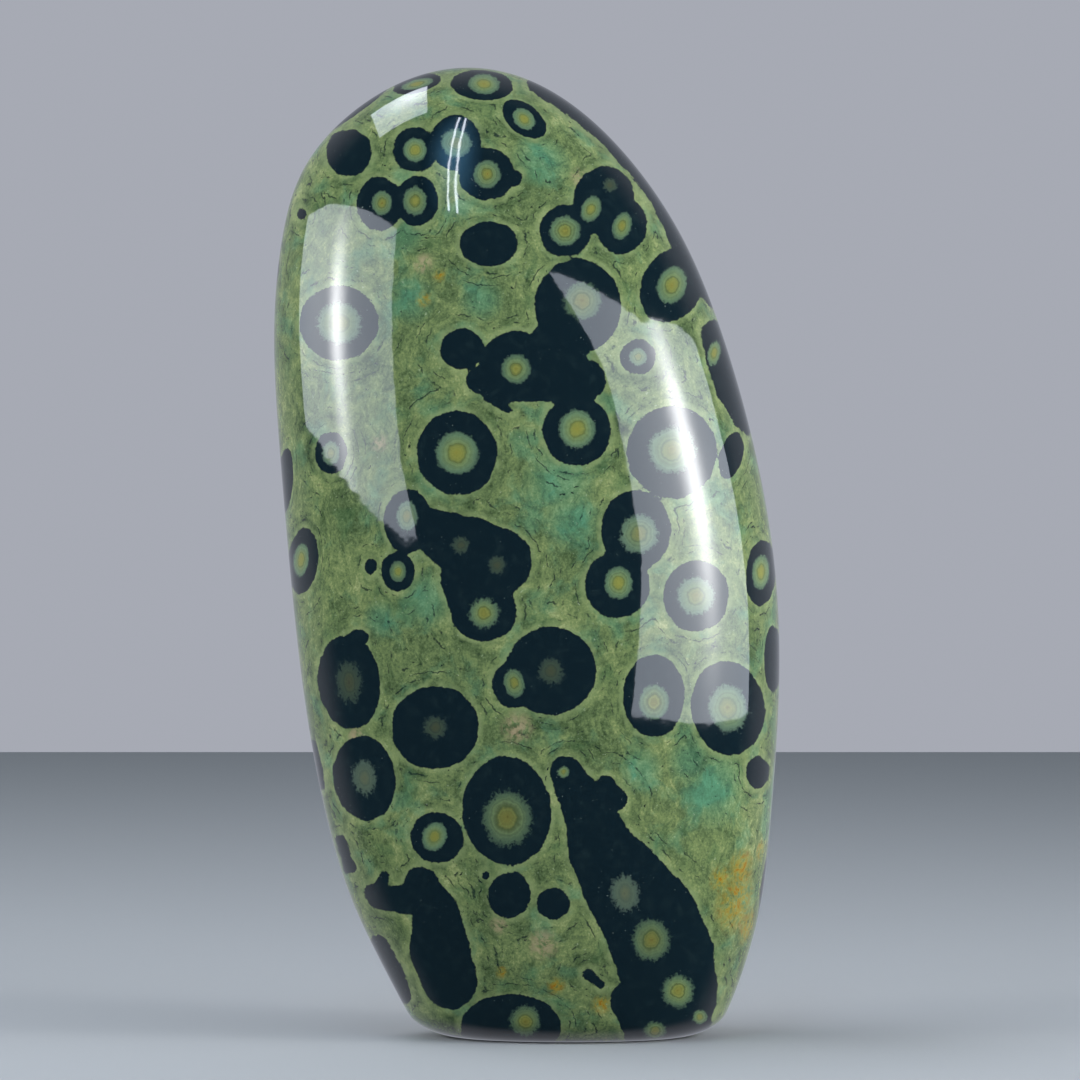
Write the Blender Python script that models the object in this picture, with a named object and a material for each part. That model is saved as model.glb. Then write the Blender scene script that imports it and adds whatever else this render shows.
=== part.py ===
"""Kambaba jasper freeform: one polished stone that stands on a small flat ground.

The stone is a tall flattened pebble, like the upper seven eighths of a leaning ellipsoid.
Every level cut through it is a slightly squared ellipse, whose centre, half width and half
depths follow smooth curves through a few measured stations. Metres, +Z up, the broad front
face looks along -Y, and the origin is under the middle of the bounding box, on the ground.
"""

import math

import bmesh
import bpy
import numpy as np

# Driving dimensions, in metres
HEIGHT = 0.1588
GIRTH_HEIGHT = 0.0730      # height of the level where the parent ellipsoid is widest
GROUND_ROUND_HEIGHT = 0.0038
GROUND_ROUND_ACROSS = 0.0058
GROUND_ROUND_DEEP = 0.0046
FACE_FLATNESS = 0.030      # share by which the diagonals of a level cut stand out of an ellipse

# Stations up the stone: height, then the size of the parent ellipsoid there
HALF_WIDTH = (
    (0.0000, 0.0452),
    (0.0080, 0.0430),
    (0.0200, 0.0417),
    (0.0360, 0.0403),
    (0.0560, 0.03965),
    (0.0780, 0.03975),
    (0.0980, 0.0405),
    (0.1170, 0.04235),
    (0.1320, 0.0446),
    (0.1450, 0.0465),
    (0.1588, 0.0462),
)
SIDEWAYS_LEAN = (
    (0.0000, 0.0068),
    (0.0090, 0.0063),
    (0.0220, 0.00495),
    (0.0390, 0.0034),
    (0.0600, 0.0022),
    (0.0780, 0.0008),
    (0.0980, -0.00185),
    (0.1170, -0.0050),
    (0.1310, -0.0073),
    (0.1440, -0.0094),
    (0.1588, -0.0096),
)
FRONT_DEPTH = (
    (0.0000, 0.0305),
    (0.0210, 0.0288),
    (0.0545, 0.0270),
    (0.0875, 0.0262),
    (0.1205, 0.0268),
    (0.1588, 0.0300),
)
BACK_DEPTH = (
    (0.0000, 0.0312),
    (0.0210, 0.0280),
    (0.0545, 0.0258),
    (0.0875, 0.0250),
    (0.1205, 0.0256),
    (0.1588, 0.0290),
)
BACKWARD_LEAN = (
    (0.0000, 0.0000),
    (0.0545, -0.0010),
    (0.1205, 0.0006),
    (0.1588, 0.0026),
)

# Mesh density
COLUMNS = 84
ROUND_RINGS = 6
SIDE_RINGS = 41

STONE_GREEN = (0.090, 0.150, 0.085, 1.0)
POLISH_ROUGHNESS = 0.06


def smooth_curve(stations):
    """A natural cubic spline through (height, value) stations, as a function of height."""
    heights, values = np.array(stations).T
    steps = np.diff(heights)
    slopes = np.diff(values) / steps
    count = len(heights)
    system = np.eye(count)
    rhs = np.zeros(count)
    for i in range(1, count - 1):
        system[i, i - 1 : i + 2] = steps[i - 1], 2 * (steps[i - 1] + steps[i]), steps[i]
        rhs[i] = 6 * (slopes[i] - slopes[i - 1])
    bends = np.linalg.solve(system, rhs)

    def value_at(height):
        i = int(np.clip(np.searchsorted(heights, height) - 1, 0, count - 2))
        after = height - heights[i]
        before = heights[i + 1] - height
        cubic = bends[i] * before**3 + bends[i + 1] * after**3
        start = (values[i] / steps[i] - bends[i] * steps[i] / 6) * before
        end = (values[i + 1] / steps[i] - bends[i + 1] * steps[i] / 6) * after
        return cubic / (6 * steps[i]) + start + end

    return value_at


half_width = smooth_curve(HALF_WIDTH)
sideways_lean = smooth_curve(SIDEWAYS_LEAN)
front_depth = smooth_curve(FRONT_DEPTH)
back_depth = smooth_curve(BACK_DEPTH)
backward_lean = smooth_curve(BACKWARD_LEAN)


def ground_inset(height):
    """How far the rounding above the ground has drawn in, from 0 at its top to 1 on the ground."""
    below = max(0.0, 1 - height / GROUND_ROUND_HEIGHT)
    return 1 - math.sqrt(1 - below**2)


def ring_at(height, columns):
    """The points of the level cut at this height, anticlockwise from +X."""
    level = (height - GIRTH_HEIGHT) / (HEIGHT - GIRTH_HEIGHT)
    narrowing = math.sqrt(1 - level**2)
    inset = ground_inset(height)
    across = half_width(height) * narrowing - GROUND_ROUND_ACROSS * inset
    forward = front_depth(height) * narrowing - GROUND_ROUND_DEEP * inset
    back = back_depth(height) * narrowing - GROUND_ROUND_DEEP * inset
    points = []
    for column in range(columns):
        angle = math.tau * column / columns
        fuller = 1 + FACE_FLATNESS * narrowing**2 * math.sin(2 * angle) ** 2
        deep = back if math.sin(angle) > 0 else forward
        x = sideways_lean(height) + across * fuller * math.cos(angle)
        y = backward_lean(height) + deep * fuller * math.sin(angle)
        points.append((x, y, height))
    return points


def ring_heights(round_rings, side_rings):
    """Heights of the rings: evenly round the ground edge, then evenly in angle up to the top."""
    heights = []
    for i in range(round_rings):
        turn = math.pi / 2 * i / round_rings
        heights.append(GROUND_ROUND_HEIGHT * (1 - math.cos(turn)))
    upper = HEIGHT - GIRTH_HEIGHT
    first = math.asin((GROUND_ROUND_HEIGHT - GIRTH_HEIGHT) / upper)
    for i in range(side_rings):
        turn = first + (math.pi / 2 - first) * i / side_rings
        heights.append(GIRTH_HEIGHT + upper * math.sin(turn))
    return heights


def centred(points):
    """The points moved so that their box is centred on the Z axis."""
    low = points.min(axis=0)
    high = points.max(axis=0)
    middle = (low + high) / 2
    return points - (middle[0], middle[1], 0.0)


def stone_mesh():
    """The closed skin: rings joined by bands, a flat ground face and a fan at the top."""
    heights = ring_heights(ROUND_RINGS, SIDE_RINGS)
    rings = [ring_at(height, COLUMNS) for height in heights]
    summit = (sideways_lean(HEIGHT), backward_lean(HEIGHT), HEIGHT)
    points = centred(np.array([point for ring in rings for point in ring] + [summit]))

    bm = bmesh.new()
    verts = [bm.verts.new(point) for point in points]
    top = verts.pop()
    rows = [verts[i : i + COLUMNS] for i in range(0, len(verts), COLUMNS)]
    bm.faces.new(reversed(rows[0]))
    for lower, upper in zip(rows, rows[1:]):
        for i in range(COLUMNS):
            j = (i + 1) % COLUMNS
            bm.faces.new((lower[i], lower[j], upper[j], upper[i]))
    for i in range(COLUMNS):
        bm.faces.new((rows[-1][i], rows[-1][(i + 1) % COLUMNS], top))
    mesh = bpy.data.meshes.new("stone")
    bm.to_mesh(mesh)
    bm.free()
    mesh.shade_smooth()
    mesh.set_sharp_from_angle(angle=math.radians(40))
    return mesh


def polished_jasper():
    material = bpy.data.materials.new("polished jasper")
    material.use_nodes = True
    shader = material.node_tree.nodes["Principled BSDF"]
    shader.inputs["Base Color"].default_value = STONE_GREEN
    shader.inputs["Roughness"].default_value = POLISH_ROUGHNESS
    shader.inputs["Metallic"].default_value = 0.0
    material.diffuse_color = STONE_GREEN
    return material


def main():
    for old in list(bpy.data.objects):
        bpy.data.objects.remove(old, do_unlink=True)
    stone = bpy.data.objects.new("stone", stone_mesh())
    stone.data.materials.append(polished_jasper())
    bpy.context.scene.collection.objects.link(stone)


main()
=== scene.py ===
"""The looks of a kambaba jasper freeform: polished green stone full of black, green-eyed orbs.

The stone's skin repeats the solid's own shape rule on a finer mesh. Its markings are worked out
in three steps: orbs, bands and blots are laid on the skin (those that the photograph shows by the
place where it shows them, the rest at random), their distance fields are stored on the mesh, and
the shader turns those fields into ragged black edges, ringed eyes and flow lines.
"""

import math
from typing import NamedTuple

import bpy
import numpy as np
from mathutils import Matrix, Vector


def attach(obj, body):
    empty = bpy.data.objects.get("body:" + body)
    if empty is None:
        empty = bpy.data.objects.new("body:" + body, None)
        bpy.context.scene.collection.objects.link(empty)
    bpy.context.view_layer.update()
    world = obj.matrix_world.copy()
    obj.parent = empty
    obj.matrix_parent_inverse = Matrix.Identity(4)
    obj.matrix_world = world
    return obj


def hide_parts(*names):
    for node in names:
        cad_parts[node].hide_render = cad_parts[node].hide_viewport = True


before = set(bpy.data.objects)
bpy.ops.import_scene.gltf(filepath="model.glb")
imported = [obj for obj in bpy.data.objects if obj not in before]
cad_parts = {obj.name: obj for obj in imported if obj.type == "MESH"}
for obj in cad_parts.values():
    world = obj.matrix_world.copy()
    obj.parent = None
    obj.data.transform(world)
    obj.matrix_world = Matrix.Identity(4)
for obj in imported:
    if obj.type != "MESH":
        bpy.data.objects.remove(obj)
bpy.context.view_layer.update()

# The stone's shape, in metres, as in the solid
HEIGHT = 0.1588
GIRTH_HEIGHT = 0.0730
GROUND_ROUND_HEIGHT = 0.0038
GROUND_ROUND_ACROSS = 0.0058
GROUND_ROUND_DEEP = 0.0046
FACE_FLATNESS = 0.030
HALF_WIDTH = (
    (0.0000, 0.0452),
    (0.0080, 0.0430),
    (0.0200, 0.0417),
    (0.0360, 0.0403),
    (0.0560, 0.03965),
    (0.0780, 0.03975),
    (0.0980, 0.0405),
    (0.1170, 0.04235),
    (0.1320, 0.0446),
    (0.1450, 0.0465),
    (0.1588, 0.0462),
)
SIDEWAYS_LEAN = (
    (0.0000, 0.0068),
    (0.0090, 0.0063),
    (0.0220, 0.00495),
    (0.0390, 0.0034),
    (0.0600, 0.0022),
    (0.0780, 0.0008),
    (0.0980, -0.00185),
    (0.1170, -0.0050),
    (0.1310, -0.0073),
    (0.1440, -0.0094),
    (0.1588, -0.0096),
)
FRONT_DEPTH = (
    (0.0000, 0.0305),
    (0.0210, 0.0288),
    (0.0545, 0.0270),
    (0.0875, 0.0262),
    (0.1205, 0.0268),
    (0.1588, 0.0300),
)
BACK_DEPTH = (
    (0.0000, 0.0312),
    (0.0210, 0.0280),
    (0.0545, 0.0258),
    (0.0875, 0.0250),
    (0.1205, 0.0256),
    (0.1588, 0.0290),
)
BACKWARD_LEAN = (
    (0.0000, 0.0000),
    (0.0545, -0.0010),
    (0.1205, 0.0006),
    (0.1588, 0.0026),
)

# The fine mesh
COLUMNS = 330
FRONT_CROWDING = 0.25      # how much closer together the columns stand on the front
GROUND_RINGS = 10
ROUND_RINGS = 9
SIDE_RINGS = 272

# The photograph's frame and the camera that takes it
PHOTO_SIDE = 1080
CAMERA_AT = (0.0022, -0.88, 0.0812)
CAMERA_LENS_MM = 179.35
SENSOR_MM = 36.0
FOCAL_PX = CAMERA_LENS_MM / SENSOR_MM * PHOTO_SIDE
MM_PER_M = 1000.0
PX_PER_MM = FOCAL_PX / -CAMERA_AT[1] / MM_PER_M

# The set, in metres, and its colours as linear light
STONE_MIDDLE = Vector((0.0, 0.0, 0.085))
TABLE_BACK = 1.18
TABLE_REACH = 2.4          # how far the table runs to the sides and to the front
TABLE_ROUGHNESS = 0.75
FLOOR_GREY = (0.33, 0.335, 0.335)
BACKDROP = (0.385, 0.402, 0.455, 1.0)
ROOM = (0.050, 0.105, 0.140, 1.0)
WHITE = (1.0, 1.0, 1.0, 1.0)
COOL = (0.88, 0.97, 1.12, 1.0)
BLUE = (0.25, 0.70, 1.20, 1.0)

# The fields that hold the markings
JOIN_MM = 0.45             # how softly neighbouring black marks run together
FAR_MM = 30.0              # the distance to black matter where there is none yet
FAR_EYE = 9.0              # the same for eyes, in their own radii
EYE_SEEDS = 97             # eyes of one seed have the same fibres
STORED_MM = (-9, 14)       # the range of distances that the shader needs
UNFOLD_BATCHES = 40        # keeps the arrays of the unfolding small
OUTLINE_STEP_PX = 2
PATCH_REACH = 1.5          # how far a stain's soft patch reaches, in its own radii

# The orbs that the photograph doesn't show
SEED = 41
ORB_TRIES = 2600
ORB_LOG_RADIUS = (1.55, 0.42)
ORB_RADII_MM = (2.0, 8.6)
ORB_GAP_MM = 1.1
TOUCHING_SHARE = 0.10
TOUCHING_GAP = -0.25       # the gap of touching orbs, in radii of the new one
SEEN_EDGE_FACING = -0.10   # above this a point is close to the visible side
SEEN_EDGE_GAP_MM = 2.0
ORB_FLATNESS = (0.72, 1.0)
EYE_SHARES = (0.0, 0.36, 0.44, 0.5, 0.56)
EYE_CHANCES = (0.2, 0.2, 0.25, 0.2, 0.15)
HIDDEN_KINDS = ("green", "yellow", "green", "olive", "pale", "rings", "dim", "grey")


def smooth_curve(stations):
    """A natural cubic spline through (height, value) stations, as a function of heights."""
    heights, values = np.array(stations).T
    steps = np.diff(heights)
    slopes = np.diff(values) / steps
    count = len(heights)
    system = np.eye(count)
    rhs = np.zeros(count)
    for i in range(1, count - 1):
        system[i, i - 1 : i + 2] = steps[i - 1], 2 * (steps[i - 1] + steps[i]), steps[i]
        rhs[i] = 6 * (slopes[i] - slopes[i - 1])
    bends = np.linalg.solve(system, rhs)

    def value_at(height):
        i = np.clip(np.searchsorted(heights, height) - 1, 0, count - 2)
        after = height - heights[i]
        before = heights[i + 1] - height
        cubic = bends[i] * before**3 + bends[i + 1] * after**3
        start = (values[i] / steps[i] - bends[i] * steps[i] / 6) * before
        end = (values[i + 1] / steps[i] - bends[i + 1] * steps[i] / 6) * after
        return cubic / (6 * steps[i]) + start + end

    return value_at


def skin_rings():
    """Heights of the rings, from the ground's middle to the top, and the share of size each has."""
    shrink = np.arange(1, GROUND_RINGS + 1) / (GROUND_RINGS + 1)
    turn = math.pi / 2 * np.arange(ROUND_RINGS) / ROUND_RINGS
    rounding = GROUND_ROUND_HEIGHT * (1 - np.cos(turn))
    upper = HEIGHT - GIRTH_HEIGHT
    first = math.asin((GROUND_ROUND_HEIGHT - GIRTH_HEIGHT) / upper)
    turn = first + (math.pi / 2 - first) * np.arange(SIDE_RINGS) / SIDE_RINGS
    side = GIRTH_HEIGHT + upper * np.sin(turn)
    heights = np.concatenate([np.zeros(GROUND_RINGS), rounding, side])
    shrinks = np.concatenate([shrink, np.ones(ROUND_RINGS + SIDE_RINGS)])
    return heights, shrinks


def skin_points():
    """The skin's points, ring by ring: an array of rings by columns by 3, and the two poles."""
    heights, shrinks = skin_rings()
    level = (heights - GIRTH_HEIGHT) / (HEIGHT - GIRTH_HEIGHT)
    narrowing = np.sqrt(1 - level**2)
    below = np.clip(1 - heights / GROUND_ROUND_HEIGHT, 0, 1)
    inset = 1 - np.sqrt(1 - below**2)
    half_width = smooth_curve(HALF_WIDTH)(heights)
    sideways = smooth_curve(SIDEWAYS_LEAN)(heights)
    backward = smooth_curve(BACKWARD_LEAN)(heights)
    across = half_width * narrowing - GROUND_ROUND_ACROSS * inset
    forward = smooth_curve(FRONT_DEPTH)(heights) * narrowing - GROUND_ROUND_DEEP * inset
    back = smooth_curve(BACK_DEPTH)(heights) * narrowing - GROUND_ROUND_DEEP * inset

    turn = math.tau * np.arange(COLUMNS) / COLUMNS
    angle = (turn - FRONT_CROWDING * np.cos(turn))[None, :]
    fuller = 1 + FACE_FLATNESS * narrowing[:, None] ** 2 * np.sin(2 * angle) ** 2
    fuller = fuller * shrinks[:, None]
    deep = np.where(np.sin(angle) > 0, back[:, None], forward[:, None])
    x = sideways[:, None] + across[:, None] * fuller * np.cos(angle)
    y = backward[:, None] + deep * fuller * np.sin(angle)
    rings = np.stack([x, y, np.repeat(heights[:, None], COLUMNS, 1)], axis=2)
    bottom = np.array((sideways[0], backward[0], 0.0))
    top = np.array((
        smooth_curve(SIDEWAYS_LEAN)(HEIGHT),
        smooth_curve(BACKWARD_LEAN)(HEIGHT),
        HEIGHT,
    ))
    middle = (rings.min(axis=(0, 1)) + rings.max(axis=(0, 1))) / 2
    middle[2] = 0.0
    return rings - middle, bottom - middle, top - middle


def skin_mesh():
    """The stone's skin with smooth normals and an even map for its texture."""
    rings, bottom, top = skin_points()
    ring_count = len(rings)
    points = np.concatenate([rings.reshape(-1, 3), [bottom, top]])
    index = np.arange(ring_count * COLUMNS).reshape(ring_count, COLUMNS)
    right = np.roll(index, -1, axis=1)
    quads = np.stack([index[:-1], right[:-1], right[1:], index[1:]], axis=2).reshape(-1, 4)
    low_pole, high_pole = ring_count * COLUMNS, ring_count * COLUMNS + 1
    faces = quads.tolist()
    faces += [(int(b), int(a), low_pole) for a, b in zip(index[0], right[0])]
    faces += [(int(a), int(b), high_pole) for a, b in zip(index[-1], right[-1])]
    mesh = bpy.data.meshes.new("jasper_stone")
    mesh.from_pydata(points.tolist(), [], faces)
    mesh.shade_smooth()
    mesh.update()
    add_map(mesh, rings, bottom, top)
    return mesh


def row_on_map(across, height):
    """Places on the map, one for each column, all at one height."""
    return np.stack([across, np.full(COLUMNS, height)], axis=1)


def add_map(mesh, rings, bottom, top):
    """Lays the skin out as one sheet, unrolled round the stone and from the ground to the top."""
    steps = np.linalg.norm(np.diff(rings, axis=0), axis=2).mean(axis=1)
    first = np.linalg.norm(rings[0] - bottom, axis=1).mean()
    last = np.linalg.norm(rings[-1] - top, axis=1).mean()
    up = np.cumsum(np.concatenate([[first], steps, [last]]))
    up = up / up[-1]
    widest = rings[np.argmax(np.ptp(rings[:, :, 0], axis=1))]
    gaps = np.linalg.norm(np.roll(widest, -1, axis=0) - widest, axis=1)
    round_ = np.concatenate([[0.0], np.cumsum(gaps)])
    round_ = round_ / round_[-1]
    ring_count = len(rings)
    column = np.arange(COLUMNS)
    left, right = round_[column], round_[column + 1]
    low, high = up[: ring_count - 1], up[1:ring_count]
    quads = np.zeros((ring_count - 1, COLUMNS, 4, 2))
    quads[:, :, 0, 0] = quads[:, :, 3, 0] = left
    quads[:, :, 1, 0] = quads[:, :, 2, 0] = right
    quads[:, :, 0, 1] = quads[:, :, 1, 1] = low[:, None]
    quads[:, :, 2, 1] = quads[:, :, 3, 1] = high[:, None]
    middle = (left + right) / 2
    base = [row_on_map(right, up[0]), row_on_map(left, up[0]), row_on_map(middle, 0.0)]
    base = np.stack(base, axis=1)
    crown = [row_on_map(left, up[-2]), row_on_map(right, up[-2]), row_on_map(middle, 1.0)]
    crown = np.stack(crown, axis=1)
    places = np.concatenate([quads.reshape(-1, 2), base.reshape(-1, 2), crown.reshape(-1, 2)])
    layer = mesh.uv_layers.new(name="OFBake")
    layer.data.foreach_set("uv", places.astype(np.float32).ravel())


class Skin:
    """The skin's points in millimetres, their normals, and where the camera sees them."""

    def __init__(self, mesh):
        count = len(mesh.vertices)
        flat = np.empty(count * 3, np.float32)
        mesh.vertices.foreach_get("co", flat)
        metres = flat.reshape(-1, 3).astype(float)
        mesh.vertex_normals.foreach_get("vector", flat)
        self.normals = flat.reshape(-1, 3).astype(float)
        self.points = metres * MM_PER_M
        away = metres - np.array(CAMERA_AT)
        self.pixels = PHOTO_SIDE / 2 + FOCAL_PX * np.stack(
            [away[:, 0] / away[:, 1], -away[:, 2] / away[:, 1]], axis=1)
        sight = away / np.linalg.norm(away, axis=1)[:, None]
        self.facing = -(self.normals * sight).sum(axis=1)
        self.unfold_hidden_side()

    def unfold_hidden_side(self):
        """Moves hidden points' pixels outside the outline, so that marks run on round the edge."""
        outline = outline_of(self.pixels)
        hidden = np.flatnonzero(self.facing < 0)
        for part in np.array_split(hidden, UNFOLD_BATCHES):
            gaps = self.pixels[part][:, None, :] - outline[None, :, :]
            nearest = outline[np.argmin((gaps**2).sum(axis=2), axis=1)]
            self.pixels[part] = 2 * nearest - self.pixels[part]

    def under_pixel(self, pixel):
        """The vertex nearest to a pixel of the photograph."""
        off = ((self.pixels - pixel) ** 2).sum(axis=1)
        return int(np.argmin(off))


def outline_of(pixels):
    """The outline of the projected points: their convex hull, with closely spaced points."""
    order = pixels[np.lexsort((pixels[:, 1], pixels[:, 0]))]

    def chain(points):
        kept = []
        for point in points:
            while len(kept) > 1 and turn_of(kept[-2], kept[-1], point) <= 0:
                kept.pop()
            kept.append(point)
        return kept[:-1]

    corners = np.array(chain(order) + chain(order[::-1]))
    following = np.roll(corners, -1, axis=0)
    dense = []
    for start, end in zip(corners, following):
        count = int(np.linalg.norm(end - start) / OUTLINE_STEP_PX) + 1
        share = np.arange(count)[:, None] / count
        dense.append(start + (end - start) * share)
    return np.concatenate(dense)


def turn_of(a, b, c):
    """Above zero where the way from a over b to c turns one way, below where it turns the other."""
    return (b[0] - a[0]) * (c[1] - a[1]) - (b[1] - a[1]) * (c[0] - a[0])


class Markings:
    """Distance fields of the black matter and of the eyes in it, built up one mark at a time."""

    def __init__(self, skin):
        self.skin = skin
        count = len(skin.points)
        self.black = np.full(count, FAR_MM)
        self.eye_size = np.full(count, FAR_EYE)
        self.eye_place = np.full((count, 3), FAR_EYE)
        self.eye_kind = np.zeros((count, 3))
        self.placed = []

    def add_black(self, distance):
        """Joins a mark's signed distance (in millimetres) to the rest, with a soft crease."""
        gap = np.clip(0.5 + 0.5 * (self.black - distance) / JOIN_MM, 0, 1)
        soft = self.black * (1 - gap) + distance * gap - JOIN_MM * gap * (1 - gap)
        self.black = np.minimum(soft, self.black)

    def add_eye(self, across, up, depth, seed, kind):
        """Keeps the nearest eye's own coordinates, in which its edge has radius one."""
        size = np.sqrt(across**2 + up**2 + depth**2)
        near = size < self.eye_size
        self.eye_size = np.where(near, size, self.eye_size)
        self.eye_place[near] = np.stack([across, up, np.full_like(up, seed)], axis=1)[near]
        self.eye_kind[near] = kind

    def keep_place(self, pixel, radius):
        """Notes where a seen mark is and how far it reaches, so that hidden ones keep off it."""
        at = self.skin.points[self.skin.under_pixel(pixel)]
        self.placed.append((at, radius / PX_PER_MM))

    def add_orb(self, orb):
        if orb.black:
            a, b = self.seen_frame(orb.x, orb.y, orb.turn)
            radius = max(orb.black)
            distance = np.hypot(a / orb.black[0], b / orb.black[1]) - 1
            self.add_black(distance * radius / PX_PER_MM)
            self.keep_place((orb.x, orb.y), radius)
        if orb.eye:
            x, y = orb.eye_at or (orb.x, orb.y)
            turn = orb.turn if orb.eye_turn is None else orb.eye_turn
            a, b = self.seen_frame(x, y, turn)
            seed = (orb.x * 7 + orb.y * 13) % EYE_SEEDS
            self.add_eye(a / orb.eye[0], b / orb.eye[1], 0 * a, seed, EYE_KINDS[orb.kind])

    def seen_frame(self, x, y, turn):
        """Every point's offset from a pixel of the photograph, along axes turned by degrees."""
        off = self.skin.pixels - (x, y)
        return turned(off[:, 0], -off[:, 1], turn)

    def add_band(self, stops):
        best = np.full(len(self.skin.points), np.inf)
        for start, end in zip(stops, stops[1:]):
            p0, p1 = np.array(start[:2], float), np.array(end[:2], float)
            along = p1 - p0
            share = np.clip((self.skin.pixels - p0) @ along / (along @ along), 0, 1)
            radius = start[2] + (end[2] - start[2]) * share
            off = np.linalg.norm(self.skin.pixels - (p0 + along * share[:, None]), axis=1)
            best = np.minimum(best, (off - radius) / PX_PER_MM)
            middle = (p0 + p1) / 2
            self.keep_place(middle, radius.mean())
        self.add_black(best)

    def add_hidden_orb(self, at, radius, flat, turn, eye_share, kind, seed):
        """An orb round a vertex that the photograph doesn't show; radius in millimetres."""
        centre, normal = self.skin.points[at], self.skin.normals[at]
        side = np.cross((0.0, 0.0, 1.0), normal)
        if np.linalg.norm(side) < 0.01:
            side = np.array((1.0, 0.0, 0.0))
        side = side / np.linalg.norm(side)
        off = self.skin.points - centre
        a, b = turned(off @ side, off @ np.cross(normal, side), turn)
        depth = off @ normal
        size = np.sqrt((a / radius) ** 2 + (b / (radius * flat)) ** 2 + (depth / radius) ** 2)
        self.add_black((size - 1) * radius * math.sqrt(flat))
        self.placed.append((centre, radius))
        if eye_share > 0:
            eye = radius * eye_share
            self.add_eye(a / eye, b / (eye * flat), depth / (2 * eye), seed, EYE_KINDS[kind])


def turned(across, up, degrees):
    """Coordinates along axes turned anticlockwise by these degrees."""
    c, s = math.cos(math.radians(degrees)), math.sin(math.radians(degrees))
    return across * c + up * s, up * c - across * s


# What tells the eyes apart: how yellow, how frayed at the edge, how bright
EYE_KINDS = {
    "green": (0.35, 0.25, 0.75),
    "yellow": (0.85, 0.20, 1.00),
    "olive": (0.60, 0.60, 0.80),
    "pale": (0.15, 0.35, 0.90),
    "dim": (0.10, 1.00, 0.30),
    "grey": (0.00, 0.80, 0.55),
    "rings": (0.25, 0.50, 0.60),
}


class Orb(NamedTuple):
    """An orb at a pixel of the photograph, where all its measures are pixels.

    Its black disc and its eye are ellipses, given as (half width, half height), and either may be
    missing. Turns are in degrees anticlockwise.
    """

    x: float
    y: float
    black: tuple = None
    eye: tuple = None
    turn: float = 0.0
    eye_at: tuple = None
    eye_turn: float = None
    kind: str = "green"


class Band:
    """A black band through (x, y, radius) stops, all in pixels of the photograph."""

    def __init__(self, *stops):
        self.stops = stops


# The orbs, blots and bands that the photograph shows, from the top down
TOP = (
    Orb(417, 84, (24, 9), (17, 5), turn=14, kind="yellow"),
    Orb(482, 85, (31, 15), (16, 10.5), turn=-4, eye_at=(484, 84), kind="yellow"),
    Orb(524, 119, (25, 15), (13, 9.5), turn=-38, kind="yellow"),
    Band((535, 84, 8), (566, 100, 12), (591, 120, 10.5), (612, 140, 9), (646, 180, 9),
         (661, 200, 9.5), (684, 240, 14), (703, 280, 12), (713, 303, 5)),
)
UPPER_LEFT_GROUP = (
    Orb(349, 152.5, (23, 23.5)),
    Orb(415, 150, (22, 22.5), (12, 12.5), kind="yellow"),
    Orb(456, 143, (25, 28), (16, 15), kind="pale"),
    Orb(487, 174, (28, 26), (14, 14.5)),
    Orb(514, 178, (8, 8)),
    Orb(380, 204, (23, 27), (10.5, 12.5), eye_at=(382, 203)),
    Orb(417, 201, (21, 25), (12.5, 15), eye_at=(415, 201)),
    Orb(489, 244, (29, 22.5)),
)
UPPER_RIGHT_CLUSTER = (
    Orb(565, 231, (26, 26), (16, 15.5), turn=-20),
    Orb(603, 200, (30, 34), turn=-20),
    Orb(591, 209, None, (10, 14), turn=-24, kind="green"),
    Orb(622, 226, (25, 28), (9.5, 14.5), turn=-18),
    Orb(610, 185, None, (8, 8), kind="dim"),
    Orb(672, 285, (30, 39), (15, 20), turn=-28, eye_turn=-20),
)
MIDDLE = (
    Orb(578, 306, (43, 47), (20, 20), eye_at=(582, 301), kind="rings"),
    Orb(462, 349, (22, 20.5)),
    Orb(516, 366, (37, 35), (15, 15), eye_at=(516, 369)),
    Band((480, 380, 14), (510, 388, 13), (556, 384, 18), (586, 380, 20)),
    Band((556, 345, 26), (572, 380, 22)),
    Band((488, 396, 6), (512, 412, 3)),
    Orb(577, 431, (34, 34.5), (18.5, 20), eye_at=(577, 429), kind="yellow"),
    Orb(638, 357, (18, 17.5), (9.5, 9.5), kind="pale"),
    Orb(339, 323, (39.5, 37), (23, 22), kind="pale"),
    Orb(331, 453, (16, 21), (9.5, 13), kind="pale"),
    Orb(457, 453, (40, 42), (22, 22), turn=10, kind="yellow"),
    Orb(672, 452, (45, 46), (25, 24), eye_at=(672, 450), kind="pale"),
)
RIGHT_EDGE = (
    Band((714, 333, 13), (720, 355, 15), (729, 390, 13), (741, 420, 8), (748, 433, 3)),
    Orb(714, 353, (3, 3), (7, 13.5), turn=-12, kind="olive"),
    Orb(731, 456, (11.5, 23.5), turn=-14),
)
LEFT_EDGE = (
    Orb(285, 481, (8, 33), turn=-4),
    Orb(303, 561, (15, 33), (8, 17.5), turn=-6, eye_at=(301, 560), kind="yellow"),
    Orb(302, 214, (5, 6)),
)
CENTRE_LEFT_CLUSTER = (
    Orb(408, 521, (24, 32), (11, 16), turn=0, eye_at=(407, 516), kind="pale"),
    Band((430, 530, 22), (470, 550, 34), (500, 562, 32)),
    Band((470, 575, 30), (482, 606, 32)),
    Orb(461, 545, None, (10, 10), kind="dim"),
    Orb(497, 565, None, (9.5, 10.5), kind="dim"),
    Orb(484, 613, (33, 28), (16, 16), kind="olive"),
    Orb(398, 571.5, (17, 20), (8.5, 11), kind="yellow"),
    Orb(371, 567, (6, 8)),
)
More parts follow.
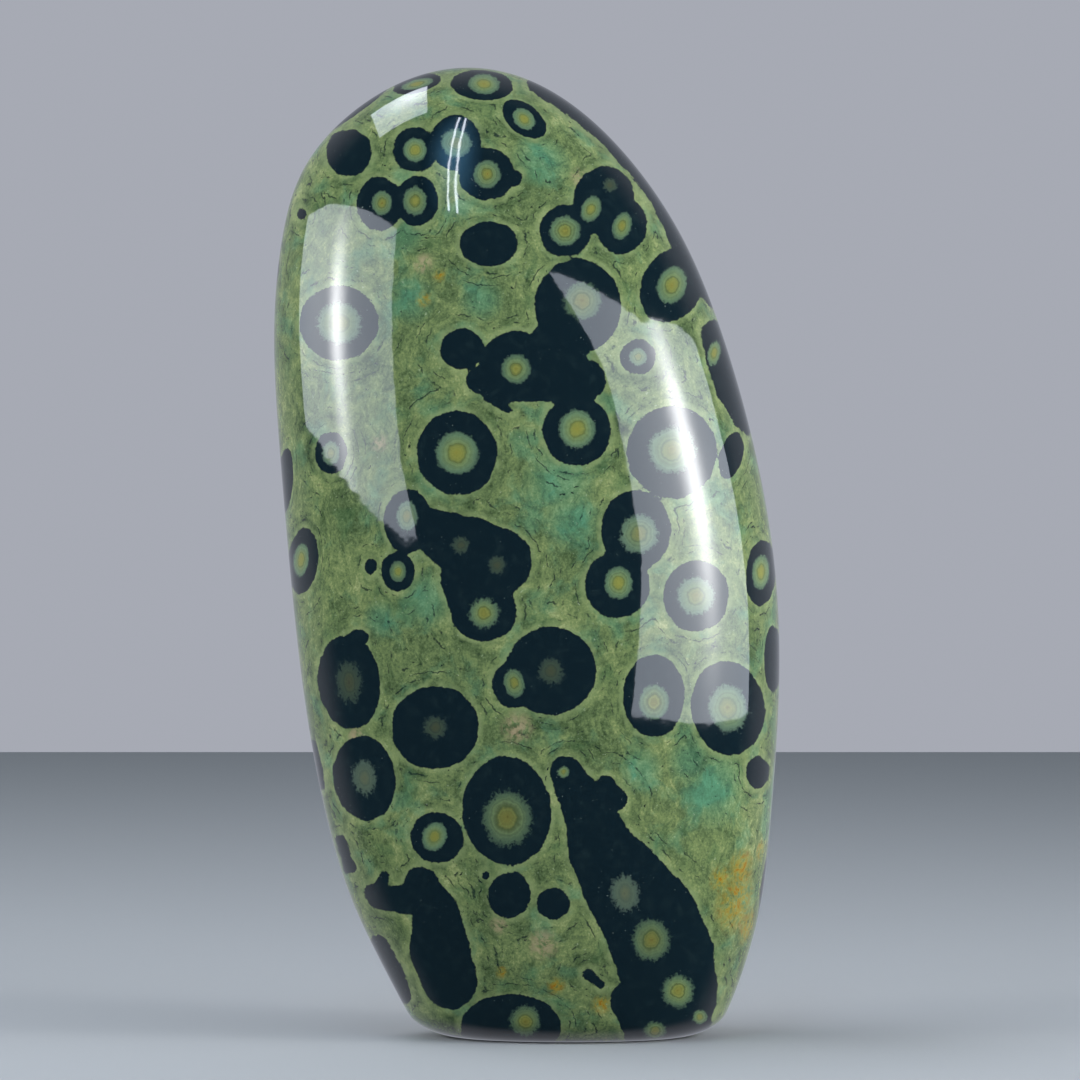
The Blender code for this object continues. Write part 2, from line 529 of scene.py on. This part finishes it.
CENTRE_RIGHT = (
    Orb(636, 530, (35, 40), (20, 20), eye_at=(639, 534), kind="pale"),
    Orb(617, 585, (33, 33), (14.5, 16.5), eye_at=(618.5, 583), kind="yellow"),
    Orb(696, 596, (32.5, 35.5), (19.5, 20), kind="pale"),
    Orb(761, 573, (15, 33), (9, 18), turn=-4, eye_at=(761, 572), kind="yellow"),
    Orb(773, 659, (9, 33), turn=0),
)
LOWER_MIDDLE = (
    Orb(551, 671, (45, 44), (14, 15), kind="dim"),
    Orb(516, 684, (24, 24), (10.5, 15), eye_at=(514, 683), turn=15, kind="green"),
    Orb(653.5, 696, (31, 41), (15.5, 18.5), eye_at=(654, 702), kind="green"),
    Orb(728, 708, (37, 47), (20, 25), turn=8, kind="pale"),
    Orb(757.5, 772.5, (12, 16)),
)
LOWER_LEFT = (
    Orb(349, 682, (31, 47), (14, 24), turn=6, kind="dim"),
    Orb(358, 638, (10, 9)),
    Orb(435, 727.5, (44, 41.5), (13, 13), kind="dim"),
    Orb(364.5, 778, (31, 42.5), (13, 19), turn=8, kind="grey"),
    Orb(437, 837.5, (27, 25), (12.5, 15), turn=-24, eye_at=(434.5, 836.5), kind="yellow"),
    Orb(507, 811, (44.5, 54), (26, 29), turn=6, eye_at=(507, 818), kind="rings"),
)
BOTTOM_LEFT = (
    Band((421, 884, 17), (436, 915, 24), (440, 950, 30), (450, 982, 27)),
    Band((420, 900, 16), (378, 898, 11), (372, 892, 8)),
    Band((380, 890, 6), (384, 876, 5)),
    Band((378, 944, 9), (392, 972, 12), (403, 996, 8)),
    Band((340, 840, 5), (350, 868, 6)),
    Band((312, 745, 5), (320, 785, 5)),
    Orb(509.5, 895, (21, 23), turn=-20),
    Orb(486, 875, (4, 4)),
    Orb(553.5, 903.5, (16.5, 15.5), turn=-10),
    Orb(511, 1027, (50, 33), (16.5, 16.5), eye_at=(525.5, 1021.5), kind="olive"),
)
DARK_DIAGONAL_BAND = (
    Band((566, 772, 16), (590, 815, 26), (602, 850, 34), (622, 880, 42), (650, 920, 48)),
    Band((650, 920, 48), (664, 955, 50), (672, 990, 46), (676, 1015, 36)),
    Band((630, 1000, 20), (650, 1030, 26)),
    Band((606, 786, 10), (619, 800, 9)),
    Orb(563.5, 772, None, (6.5, 6.5), kind="olive"),
    Orb(625, 893, None, (15, 20), turn=12, kind="grey"),
    Orb(651, 940, None, (20, 22), kind="rings"),
    Orb(678, 991, None, (17, 17), kind="olive"),
    Orb(700, 1017, None, (8, 8), kind="olive"),
    Orb(655, 1031, None, (12, 10), kind="olive"),
    Band((589, 975, 6), (601, 985, 4)),
)
SEEN_MARKS = (
    *TOP, *UPPER_LEFT_GROUP, *UPPER_RIGHT_CLUSTER,
    *MIDDLE, *RIGHT_EDGE, *LEFT_EDGE,
    *CENTRE_LEFT_CLUSTER, *CENTRE_RIGHT, *LOWER_MIDDLE,
    *LOWER_LEFT, *BOTTOM_LEFT, *DARK_DIAGONAL_BAND,
)


def lay_seen_marks(marks):
    for mark in SEEN_MARKS:
        if isinstance(mark, Band):
            marks.add_band(mark.stops)
        else:
            marks.add_orb(mark)


def lay_hidden_marks(marks, random):
    """Orbs of the same kinds and sizes over the sides, the back and the ground."""
    skin = marks.skin
    hidden = np.flatnonzero(skin.facing < 0.0)
    for _ in range(ORB_TRIES):
        at = int(random.choice(hidden))
        radius = float(np.clip(random.lognormal(*ORB_LOG_RADIUS), *ORB_RADII_MM))
        gaps = [np.linalg.norm(skin.points[at] - place) - other for place, other in marks.placed]
        room = min(gaps) - radius
        touching = random.random() < TOUCHING_SHARE
        wanted = TOUCHING_GAP * radius if touching else ORB_GAP_MM
        near_seen = skin.facing[at] > SEEN_EDGE_FACING
        blocked = room < wanted or near_seen and min(gaps) < radius + SEEN_EDGE_GAP_MM
        flat = random.uniform(*ORB_FLATNESS)
        turn = random.uniform(0, 180)
        share = random.choice(EYE_SHARES, p=EYE_CHANCES)
        kind = HIDDEN_KINDS[int(random.integers(len(HIDDEN_KINDS)))]
        seed = float(random.uniform(0, EYE_SEEDS))
        if not blocked:
            marks.add_hidden_orb(at, radius, flat, turn, share, kind, seed)


def store(mesh, name, kind, values):
    """Keeps values on the mesh's vertices for the shader."""
    attribute = mesh.attributes.new(name, kind, "POINT")
    field = "value" if kind == "FLOAT" else "vector"
    attribute.data.foreach_set(field, np.ascontiguousarray(values, np.float32).ravel())


def patches(skin, spots):
    """Soft patches round pixels of the photograph: (x, y, radius) each, from 0 to 1."""
    total = np.zeros(len(skin.points))
    for x, y, radius in spots:
        at = skin.under_pixel((x, y))
        off = np.linalg.norm(skin.points - skin.points[at], axis=1) * PX_PER_MM / radius
        total = np.maximum(total, np.clip(PATCH_REACH - off, 0, 1))
    return total


RUST_SPOTS = (
    (742, 870, 16), (738, 900, 24), (748, 925, 14), (760, 850, 8), (556, 987, 7), (501, 972, 5),
    (440, 274, 5), (425, 298, 6), (677, 962, 9), (653, 974, 8), (720, 880, 10), (601, 1006, 8),
)
TEAL_SPOTS = (
    (557, 481, 26), (715, 789, 30), (541, 160, 22), (410, 300, 18), (405, 235, 16), (425, 600, 20),
    (570, 520, 22), (690, 760, 18), (480, 300, 16), (380, 620, 14), (640, 770, 16), (430, 480, 14),
)
TAN_SPOTS = (
    (544, 946, 12), (379, 441, 7), (355, 734, 9), (479, 560, 9), (500, 925, 7), (583, 178, 10),
    (516, 730, 12), (645, 300, 6), (425, 265, 8),
)


def dress_skin(mesh):
    """Works out the markings and stores them on the mesh."""
    skin = Skin(mesh)
    marks = Markings(skin)
    lay_seen_marks(marks)
    lay_hidden_marks(marks, np.random.default_rng(SEED))
    store(mesh, "black_mm", "FLOAT", np.clip(marks.black, *STORED_MM))
    store(mesh, "eye_place", "FLOAT_VECTOR", np.clip(marks.eye_place, -FAR_EYE, EYE_SEEDS))
    store(mesh, "eye_size", "FLOAT", np.clip(marks.eye_size, 0, FAR_EYE))
    store(mesh, "eye_kind", "FLOAT_VECTOR", marks.eye_kind)
    stains = [patches(skin, spots) for spots in (RUST_SPOTS, TEAL_SPOTS, TAN_SPOTS)]
    store(mesh, "stains", "FLOAT_VECTOR", np.stack(stains, axis=1))


class Nodes:
    """Short calls for the shader nodes that the material is made of."""

    def __init__(self, tree):
        self.tree = tree

    def new(self, kind, inputs=(), **settings):
        node = self.tree.nodes.new(kind)
        for name, value in settings.items():
            setattr(node, name, value)
        for socket, value in dict(inputs).items():
            self.put(node.inputs[socket], value)
        return node

    def put(self, socket, value):
        if isinstance(value, bpy.types.NodeSocket):
            self.tree.links.new(value, socket)
        else:
            socket.default_value = value

    def math(self, operation, *values, clamp=False):
        node = self.new("ShaderNodeMath", enumerate(values), operation=operation, use_clamp=clamp)
        return node.outputs[0]

    def vector(self, operation, *values):
        node = self.new("ShaderNodeVectorMath", enumerate(values), operation=operation)
        return node.outputs["Value" if operation == "LENGTH" else "Vector"]

    def scale(self, vector, by):
        node = self.new("ShaderNodeVectorMath", {0: vector, "Scale": by}, operation="SCALE")
        return node.outputs["Vector"]

    def add(self, a, b, clamp=False):
        return self.math("ADD", a, b, clamp=clamp)

    def minus(self, a, b):
        return self.math("SUBTRACT", a, b)

    def times(self, a, b):
        return self.math("MULTIPLY", a, b)

    def noise(self, vector, scale, detail=2.0, rough=0.5, w=None, twist=0.0, output="Fac"):
        """Fractal noise between 0 and 1; a fourth coordinate w picks another pattern."""
        inputs = {
            "Vector": vector,
            "Scale": scale,
            "Detail": detail,
            "Roughness": rough,
            "Distortion": twist,
        }
        if w is not None:
            inputs["W"] = w
        dimensions = "3D" if w is None else "4D"
        node = self.new("ShaderNodeTexNoise", inputs, noise_dimensions=dimensions, normalize=True)
        return node.outputs[output]

    def ramp(self, value, low, high, to_low=0.0, to_high=1.0):
        """A smooth step from to_low at low to to_high at high."""
        inputs = {
            "Value": value,
            "From Min": low,
            "From Max": high,
            "To Min": to_low,
            "To Max": to_high,
        }
        node = self.new("ShaderNodeMapRange", inputs, interpolation_type="SMOOTHSTEP")
        return node.outputs["Result"]

    def shaded(self, colour, light):
        """The colour times a grey light."""
        return self.mix(1.0, colour, self.join(light, light, light), "MULTIPLY")

    def mix(self, factor, a, b, how="MIX"):
        node = self.new("ShaderNodeMix", {"Factor": factor}, data_type="RGBA", blend_type=how)
        self.put(node.inputs[6], a)
        self.put(node.inputs[7], b)
        return node.outputs[2]

    def colours(self, value, stops):
        """A colour band with a stop at each (place, colour)."""
        node = self.new("ShaderNodeValToRGB", {"Fac": value})
        band = node.color_ramp.elements
        while len(band) < len(stops):
            band.new(0.5)
        for element, (place, colour) in zip(band, stops):
            element.position = place
            element.color = (*colour, 1.0)
        return node.outputs["Color"]

    def attribute(self, name, output):
        return self.new("ShaderNodeAttribute", attribute_name=name).outputs[output]

    def parts(self, vector):
        return self.new("ShaderNodeSeparateXYZ", {0: vector}).outputs

    def join(self, x, y, z):
        return self.new("ShaderNodeCombineXYZ", {0: x, 1: y, 2: z}).outputs[0]


# Colours, as linear light
MATRIX_BAND = (
    (0.00, (0.010, 0.022, 0.010)),
    (0.24, (0.036, 0.060, 0.020)),
    (0.44, (0.085, 0.120, 0.044)),
    (0.60, (0.135, 0.175, 0.062)),
    (0.78, (0.225, 0.255, 0.098)),
    (1.00, (0.420, 0.420, 0.200)),
)
TEAL = (0.062, 0.160, 0.085, 1.0)
DEEP_GREEN = (0.050, 0.110, 0.040, 1.0)
RUST = (0.230, 0.098, 0.006, 1.0)
YELLOW_STAIN = (0.260, 0.200, 0.020, 1.0)
TAN = (0.300, 0.230, 0.130, 1.0)
RIM_GREEN = (0.190, 0.235, 0.095, 1.0)
BLACK = (0.0025, 0.0075, 0.0105, 1.0)
SOFT_BLACK = (0.0090, 0.0180, 0.0190, 1.0)
INCLUSION_BLACK = (0.006, 0.014, 0.012, 1.0)
SPECK_GREY = (0.150, 0.180, 0.150, 1.0)
EYE_BAND = (
    (0.00, (0.100, 0.060, 0.012)),
    (0.10, (0.150, 0.140, 0.028)),
    (0.34, (0.125, 0.140, 0.036)),
    (0.42, (0.060, 0.085, 0.028)),
    (0.50, (0.110, 0.150, 0.058)),
    (0.80, (0.075, 0.120, 0.062)),
    (1.00, (0.050, 0.085, 0.052)),
)
EYE_GREY = (0.085, 0.115, 0.095, 1.0)
SULPHUR = (0.165, 0.165, 0.030, 1.0)
FLECK = (0.34, 0.38, 0.24, 1.0)
JASPER_IOR = 1.54

# Dark contour lines round the black matter: distance and width in mm, and a seed
CONTOURS = ((2.1, 0.16, 3.0), (3.1, 0.14, 11.0), (4.6, 0.16, 23.0))


def matrix_colour(n, place, black):
    """The green ground: fibres that flow round the orbs, in clumps of light and dark.

    Also gives its tone, the distance to black matter with a ripple, and the bent coordinates.
    """
    swirl = n.vector("SUBTRACT", n.noise(place, 0.16, output="Color"), (0.5, 0.5, 0.5))
    bent = n.vector("ADD", place, n.scale(swirl, 5.0))
    ripple = n.noise(place, 0.9, 3.0, 0.55)
    level = n.add(black, n.times(ripple, 1.3))
    flow = n.noise(bent, 0.30, 6.0, 0.62, w=n.times(level, 1.5))
    drawn_out = n.vector("MULTIPLY", bent, (0.75, 0.75, 0.45))
    loose = n.noise(drawn_out, 1.0, 7.0, 0.66, twist=0.9)
    near = n.ramp(black, 0.8, 5.5, 0.85, 0.30)
    tone = n.mix(near, loose, flow)
    grain = n.noise(place, 2.6, 5.0, 0.72)
    tone = n.add(n.times(tone, 0.66), n.times(grain, 0.34))
    broad = n.noise(bent, 0.10)
    tone = n.add(tone, n.times(n.minus(broad, 0.5), 0.22))
    tone = n.add(n.times(n.minus(tone, 0.5), 2.5), 0.5, clamp=True)
    return n.colours(tone, MATRIX_BAND), tone, level, bent


def clouded(n, colour, tone, bent, teal_spots):
    """The ground with clouds of teal and deep green."""
    cloud = n.noise(bent, 0.14, 4.0, 0.6)
    teal = n.add(n.ramp(cloud, 0.50, 0.68, 0.0, 0.55), n.times(teal_spots, 0.65), clamp=True)
    colour = n.mix(teal, colour, n.shaded(TEAL, n.add(n.times(tone, 1.3), 0.35)))
    deep = n.ramp(n.noise(bent, 0.19, 3.0, 0.6, w=7.0), 0.54, 0.68, 0.0, 0.5)
    return n.mix(deep, colour, n.mix(0.35, DEEP_GREEN, colour))


def ringed(n, colour, place, tone, level):
    """The ground with a pale rim round the black matter, then broken dark contour lines."""
    rim = n.ramp(level, 0.9, 2.0, 1.0, 0.0)
    rim = n.times(rim, n.ramp(n.noise(place, 0.5, 3.0), 0.36, 0.62, 0.15, 0.85))
    colour = n.mix(rim, colour, n.mix(n.times(tone, 0.55), RIM_GREEN, colour))
    for middle, width, seed in CONTOURS:
        off = n.math("ABSOLUTE", n.minus(level, middle))
        broken = n.ramp(n.noise(place, 0.42, 3.0, 0.6, w=seed), 0.50, 0.60)
        line = n.times(n.ramp(off, width * 0.4, width, 0.85, 0.0), broken)
        colour = n.mix(line, colour, INCLUSION_BLACK)
    return colour


def flecked(n, colour, place, level, bent):
    """The ground with dark inclusions and pale flecks, drawn out along the flow."""
    bits = n.noise(bent, 0.85, 3.0, 0.6, w=n.times(level, 1.9))
    where = n.noise(place, 0.12, w=5.0)
    edge = n.minus(0.705, n.ramp(where, 0.45, 0.62, 0.0, 0.055))
    colour = n.mix(n.ramp(n.minus(bits, edge), 0.0, 0.02), colour, INCLUSION_BLACK)
    flecks = n.noise(bent, 1.5, 3.0, 0.6, w=n.times(level, 2.6))
    return n.mix(n.ramp(flecks, 0.64, 0.72, 0.0, 0.55), colour, FLECK)


def stained(n, colour, bent, rust_spots, tan_spots):
    """The ground with rust and tan stains, at their spots and here and there."""
    grain = n.noise(bent, 0.9, 5.0, 0.7, w=2.0)
    stray = n.ramp(n.noise(bent, 0.23, 4.0, 0.7, w=31.0), 0.69, 0.76, 0.0, 0.8)
    rust = n.times(n.math("MAXIMUM", rust_spots, stray), n.ramp(grain, 0.36, 0.60))
    colour = n.mix(rust, colour, n.mix(n.ramp(grain, 0.50, 0.62), YELLOW_STAIN, RUST))
    return n.mix(n.times(tan_spots, n.ramp(grain, 0.40, 0.58, 0.0, 0.8)), colour, TAN)


def black_colour(n, place):
    """The black matter: mottled, with pale specks, and with the eyes in it."""
    mottle = n.noise(place, 0.7, 5.0, 0.65, w=9.0)
    ink = n.mix(n.ramp(mottle, 0.48, 0.72, 0.0, 0.6), BLACK, SOFT_BLACK)
    crumbs = n.noise(place, 2.8, w=15.0)
    crowd = n.ramp(n.noise(place, 0.16, 3.0, 0.6, w=19.0), 0.45, 0.65, 0.0, 0.06)
    specks = n.ramp(n.add(crumbs, crowd), 0.735, 0.80, 0.0, 0.85)
    ink = n.mix(specks, ink, SPECK_GREY)
    eye = Eye(n)
    return n.mix(eye_mask(n, place, eye), ink, eye_colour(n, place, eye))


def stone_colour(n, place):
    """The green ground, and over it the black matter with a ragged edge."""
    black = n.attribute("black_mm", "Fac")
    rust_spots, teal_spots, tan_spots = n.parts(n.attribute("stains", "Vector"))
    colour, tone, level, bent = matrix_colour(n, place, black)
    colour = clouded(n, colour, tone, bent, teal_spots)
    colour = ringed(n, colour, place, tone, level)
    colour = flecked(n, colour, place, level, bent)
    colour = stained(n, colour, bent, rust_spots, tan_spots)

    wobble = n.minus(n.noise(place, 0.42), 0.5)
    ragged = n.minus(n.noise(place, 2.3, 4.0, 0.7), 0.5)
    edge = n.add(black, n.times(wobble, 0.9))
    edge = n.add(edge, n.times(ragged, 0.75))
    return n.mix(n.ramp(edge, -0.05, 0.10, 1.0, 0.0), colour, black_colour(n, place))


class Eye:
    """What the shader knows of the nearest eye: its seed, its own measure of size, its character,
    and fibres that run outward from its middle.
    """

    def __init__(self, n):
        u, v, self.seed = n.parts(n.attribute("eye_place", "Vector"))
        self.yellow, self.fray, self.bright = n.parts(n.attribute("eye_kind", "Vector"))
        self.size = n.attribute("eye_size", "Fac")
        outward = n.vector("NORMALIZE", n.join(u, v, 0.0))
        along = n.add(self.seed, n.times(self.size, 1.6))
        self.fibre = n.noise(n.scale(outward, 4.2), 1.0, 4.0, 0.7, w=along)


def eye_mask(n, place, eye):
    """Where the eye shows, from 0 to 1, with a frayed edge."""
    grain = n.minus(n.noise(place, 2.2, 4.0, 0.7, w=4.0), 0.5)
    frayed = n.add(n.times(eye.fray, 1.1), 0.22)
    rough = n.times(n.add(n.minus(eye.fibre, 0.5), grain), frayed)
    soft = n.add(n.times(eye.fray, 0.35), 0.05)
    body = n.ramp(n.add(eye.size, rough), n.minus(1.0, soft), 1.04, 1.0, 0.0)
    return n.times(body, n.ramp(eye.bright, 0.0, 0.7, 0.35, 1.0))


def eye_colour(n, place, eye):
    """Rings of olive and green round a yellow middle."""
    wavy = n.add(eye.size, n.times(n.minus(n.noise(place, 0.9), 0.5), 0.22))
    rings = n.noise(n.join(n.times(wavy, 7.5), eye.seed, 0.0), 1.0, 3.0, 0.6)
    light = n.minus(n.add(n.times(rings, 1.5), n.times(eye.fibre, 0.9)), 0.22)
    colour = n.shaded(n.colours(wavy, EYE_BAND), light)
    sulphur = n.times(n.ramp(wavy, 0.12, 0.62, 1.0, 0.0), n.times(eye.yellow, 0.55))
    colour = n.mix(sulphur, colour, SULPHUR)
    colour = n.mix(n.ramp(eye.yellow, 0.0, 0.3, 0.6, 0.0), colour, EYE_GREY)
    return n.shaded(colour, n.ramp(eye.bright, 0.2, 1.0, 0.55, 1.15))


def polished_jasper():
    material = bpy.data.materials.new("polished kambaba jasper")
    material.use_nodes = True
    n = Nodes(material.node_tree)
    shader = material.node_tree.nodes["Principled BSDF"]
    place = n.scale(n.new("ShaderNodeTexCoord").outputs["Object"], MM_PER_M)
    n.put(shader.inputs["Base Color"], stone_colour(n, place))
    shader.inputs["IOR"].default_value = JASPER_IOR
    wear = n.noise(place, 0.35, 4.0, 0.6, w=40.0)
    n.put(shader.inputs["Roughness"], n.add(n.times(wear, 0.03), 0.022))
    peel = n.noise(place, 0.30, 2.0, 0.4, w=50.0)
    bump = n.new("ShaderNodeBump", {"Height": peel, "Strength": 0.12, "Distance": 0.00012})
    n.put(shader.inputs["Normal"], bump.outputs["Normal"])
    return material


def add_stone():
    mesh = skin_mesh()
    dress_skin(mesh)
    mesh.materials.append(polished_jasper())
    stone = bpy.data.objects.new("polished_stone", mesh)
    bpy.context.scene.collection.objects.link(stone)
    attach(stone, "root")
    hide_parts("stone")


def plain_material(name, colour, roughness):
    material = bpy.data.materials.new(name)
    material.use_nodes = True
    shader = material.node_tree.nodes["Principled BSDF"]
    shader.inputs["Base Color"].default_value = (*colour, 1.0)
    shader.inputs["Roughness"].default_value = roughness
    return material


def add_floor():
    """A plain pale table top, whose back edge shows behind the stone as in the photograph."""
    mesh = bpy.data.meshes.new("floor")
    left, right, front = -TABLE_REACH, TABLE_REACH, -TABLE_REACH
    corners = [(left, front, 0), (right, front, 0), (right, TABLE_BACK, 0), (left, TABLE_BACK, 0)]
    mesh.from_pydata(corners, [], [(0, 1, 2, 3)])
    mesh.materials.append(plain_material("pale floor", FLOOR_GREY, TABLE_ROUGHNESS))
    floor = bpy.data.objects.new("floor", mesh)
    bpy.context.scene.collection.objects.link(floor)
    floor.visible_glossy = False


def glow(name, base, *lobes):
    """A cool even glow with brighter lobes: tint, strength, place and size of each, in metres."""
    material = bpy.data.materials.new(name)
    material.use_nodes = True
    n = Nodes(material.node_tree)
    material.node_tree.nodes.remove(material.node_tree.nodes["Principled BSDF"])
    place = n.new("ShaderNodeTexCoord").outputs["Object"]
    total = n.new("ShaderNodeEmission", {"Color": COOL, "Strength": base}).outputs[0]
    for tint, strength, at, size in lobes:
        off = n.vector("DIVIDE", n.vector("SUBTRACT", place, (*at, 0.0)), (*size, 1.0))
        peak = n.math("EXPONENT", n.times(n.math("POWER", n.vector("LENGTH", off), 2.0), -1.0))
        lobe = n.new("ShaderNodeEmission", {"Color": tint, "Strength": n.times(peak, strength)})
        total = n.new("ShaderNodeAddShader", {0: total, 1: lobe.outputs[0]}).outputs[0]
    n.put(material.node_tree.nodes["Material Output"].inputs["Surface"], total)
    return material


def add_panel(name, azimuth, elevation, distance, corners, material):
    """A lit panel facing the stone. Azimuth 0 is the camera's side, positive is to its right.

    The corners are in the panel's own plane: across as seen from the stone, and up.
    """
    a, e = math.radians(azimuth), math.radians(elevation)
    out = Vector((math.sin(a) * math.cos(e), -math.cos(a) * math.cos(e), math.sin(e)))
    up = Vector((0.0, 0.0, 1.0))
    if abs(out.z) > 0.9:
        up = Vector((0.0, 1.0, 0.0))
    up = (up - out * up.dot(out)).normalized()
    across = out.cross(up)
    mesh = bpy.data.meshes.new(name)
    mesh.from_pydata([(u, v, 0.0) for u, v in corners], [], [tuple(range(len(corners)))])
    mesh.materials.append(material)
    panel = bpy.data.objects.new(name, mesh)
    axes = Matrix((across, up, -out)).transposed()
    panel.matrix_world = Matrix.Translation(STONE_MIDDLE + out * distance) @ axes.to_4x4()
    panel.visible_camera = False
    bpy.context.scene.collection.objects.link(panel)


# The panels' corners, and where they hang: azimuth, elevation and distance
LEFT_SOFTBOX = (
    (0.46, -0.17), (-0.39, -0.165), (-0.47, -0.15), (-0.40, -0.08), (-0.385, 0.28), (0.46, 0.15),
)
LEFT_SOFTBOX_AT = (-66, 16, 0.7)
RIGHT_SOFTBOX = (
    (0.60, -0.22), (-0.46, -0.20), (-0.43, 0.27), (0.10, 0.29), (0.34, 0.37), (0.66, 0.50),
    (0.45, 0.26), (0.46, 0.02),
)
RIGHT_SOFTBOX_AT = (66, 8, 0.7)
WINDOW = ((0.25, -0.25), (-0.11, -0.25), (-0.11, 0.41), (0.25, 0.41))
WINDOW_AT = (-100, 70, 1.2)
TUBE_EDGES = (0.008, -0.042)
TUBE_WIDTH = 0.014
TUBE_HALF_LENGTH = 0.37
TUBES_AT = (-12, 56, 1.2)
CEILING = ((0.22, -0.4), (-0.22, -0.4), (-0.22, 0.4), (0.22, 0.4))
CEILING_AT = (-12, 56, 1.25)


def add_lights():
    """Two softboxes in front at the sides, a window overhead and a pair of ceiling tubes."""
    left_glow = glow(
        "left glow", 3.7,
        (WHITE, 15.0, (-0.02, 0.0), (0.055, 0.13)),
        (WHITE, 2.4, (0.10, 0.03), (0.26, 0.24)),
    )
    add_panel("left_softbox", *LEFT_SOFTBOX_AT, LEFT_SOFTBOX, left_glow)
    right_glow = glow(
        "right glow", 3.9,
        (WHITE, 17.0, (0.01, 0.12), (0.075, 0.17)),
        (WHITE, 3.0, (0.0, 0.06), (0.30, 0.26)),
    )
    add_panel("right_softbox", *RIGHT_SOFTBOX_AT, RIGHT_SOFTBOX, right_glow)
    window_glow = glow("window glow", 5.5, (WHITE, 6.0, (0.0, 0.2), (0.12, 0.2)))
    add_panel("window", *WINDOW_AT, WINDOW, window_glow)
    tube_glow = glow("tube glow", 16.0)
    low, high = -TUBE_HALF_LENGTH, TUBE_HALF_LENGTH
    for near in TUBE_EDGES:
        far = near - TUBE_WIDTH
        corners = ((near, low), (far, low), (far, high), (near, high))
        add_panel("tube", *TUBES_AT, corners, tube_glow)
    ceiling_glow = glow("ceiling glow", 0.0, (BLUE, 2.6, (-0.02, 0.0), (0.12, 0.3)))
    add_panel("ceiling_sheen", *CEILING_AT, CEILING, ceiling_glow)


def add_world():
    """A grey backdrop behind the stone, and a dim cool room on the camera's side."""
    world = bpy.data.worlds.new("studio")
    world.use_nodes = True
    n = Nodes(world.node_tree)
    background = world.node_tree.nodes["Background"]
    along = n.parts(n.new("ShaderNodeTexCoord").outputs["Generated"])
    behind = n.ramp(along[1], -0.05, 0.45)
    room = n.mix(behind, ROOM, BACKDROP)
    seen = n.new("ShaderNodeLightPath").outputs["Is Camera Ray"]
    n.put(background.inputs["Color"], n.mix(seen, room, BACKDROP))
    bpy.context.scene.world = world


def add_camera():
    camera = bpy.data.cameras.new("camera")
    camera.lens = CAMERA_LENS_MM
    camera.sensor_width = SENSOR_MM
    camera.clip_start = 0.01
    seat = bpy.data.objects.new("camera", camera)
    seat.location = CAMERA_AT
    seat.rotation_euler = (math.pi / 2, 0.0, 0.0)
    bpy.context.scene.collection.objects.link(seat)
    bpy.context.scene.camera = seat


add_camera()
add_stone()
add_floor()
add_world()
add_lights()
bpy.context.scene.view_settings.view_transform = "Standard"
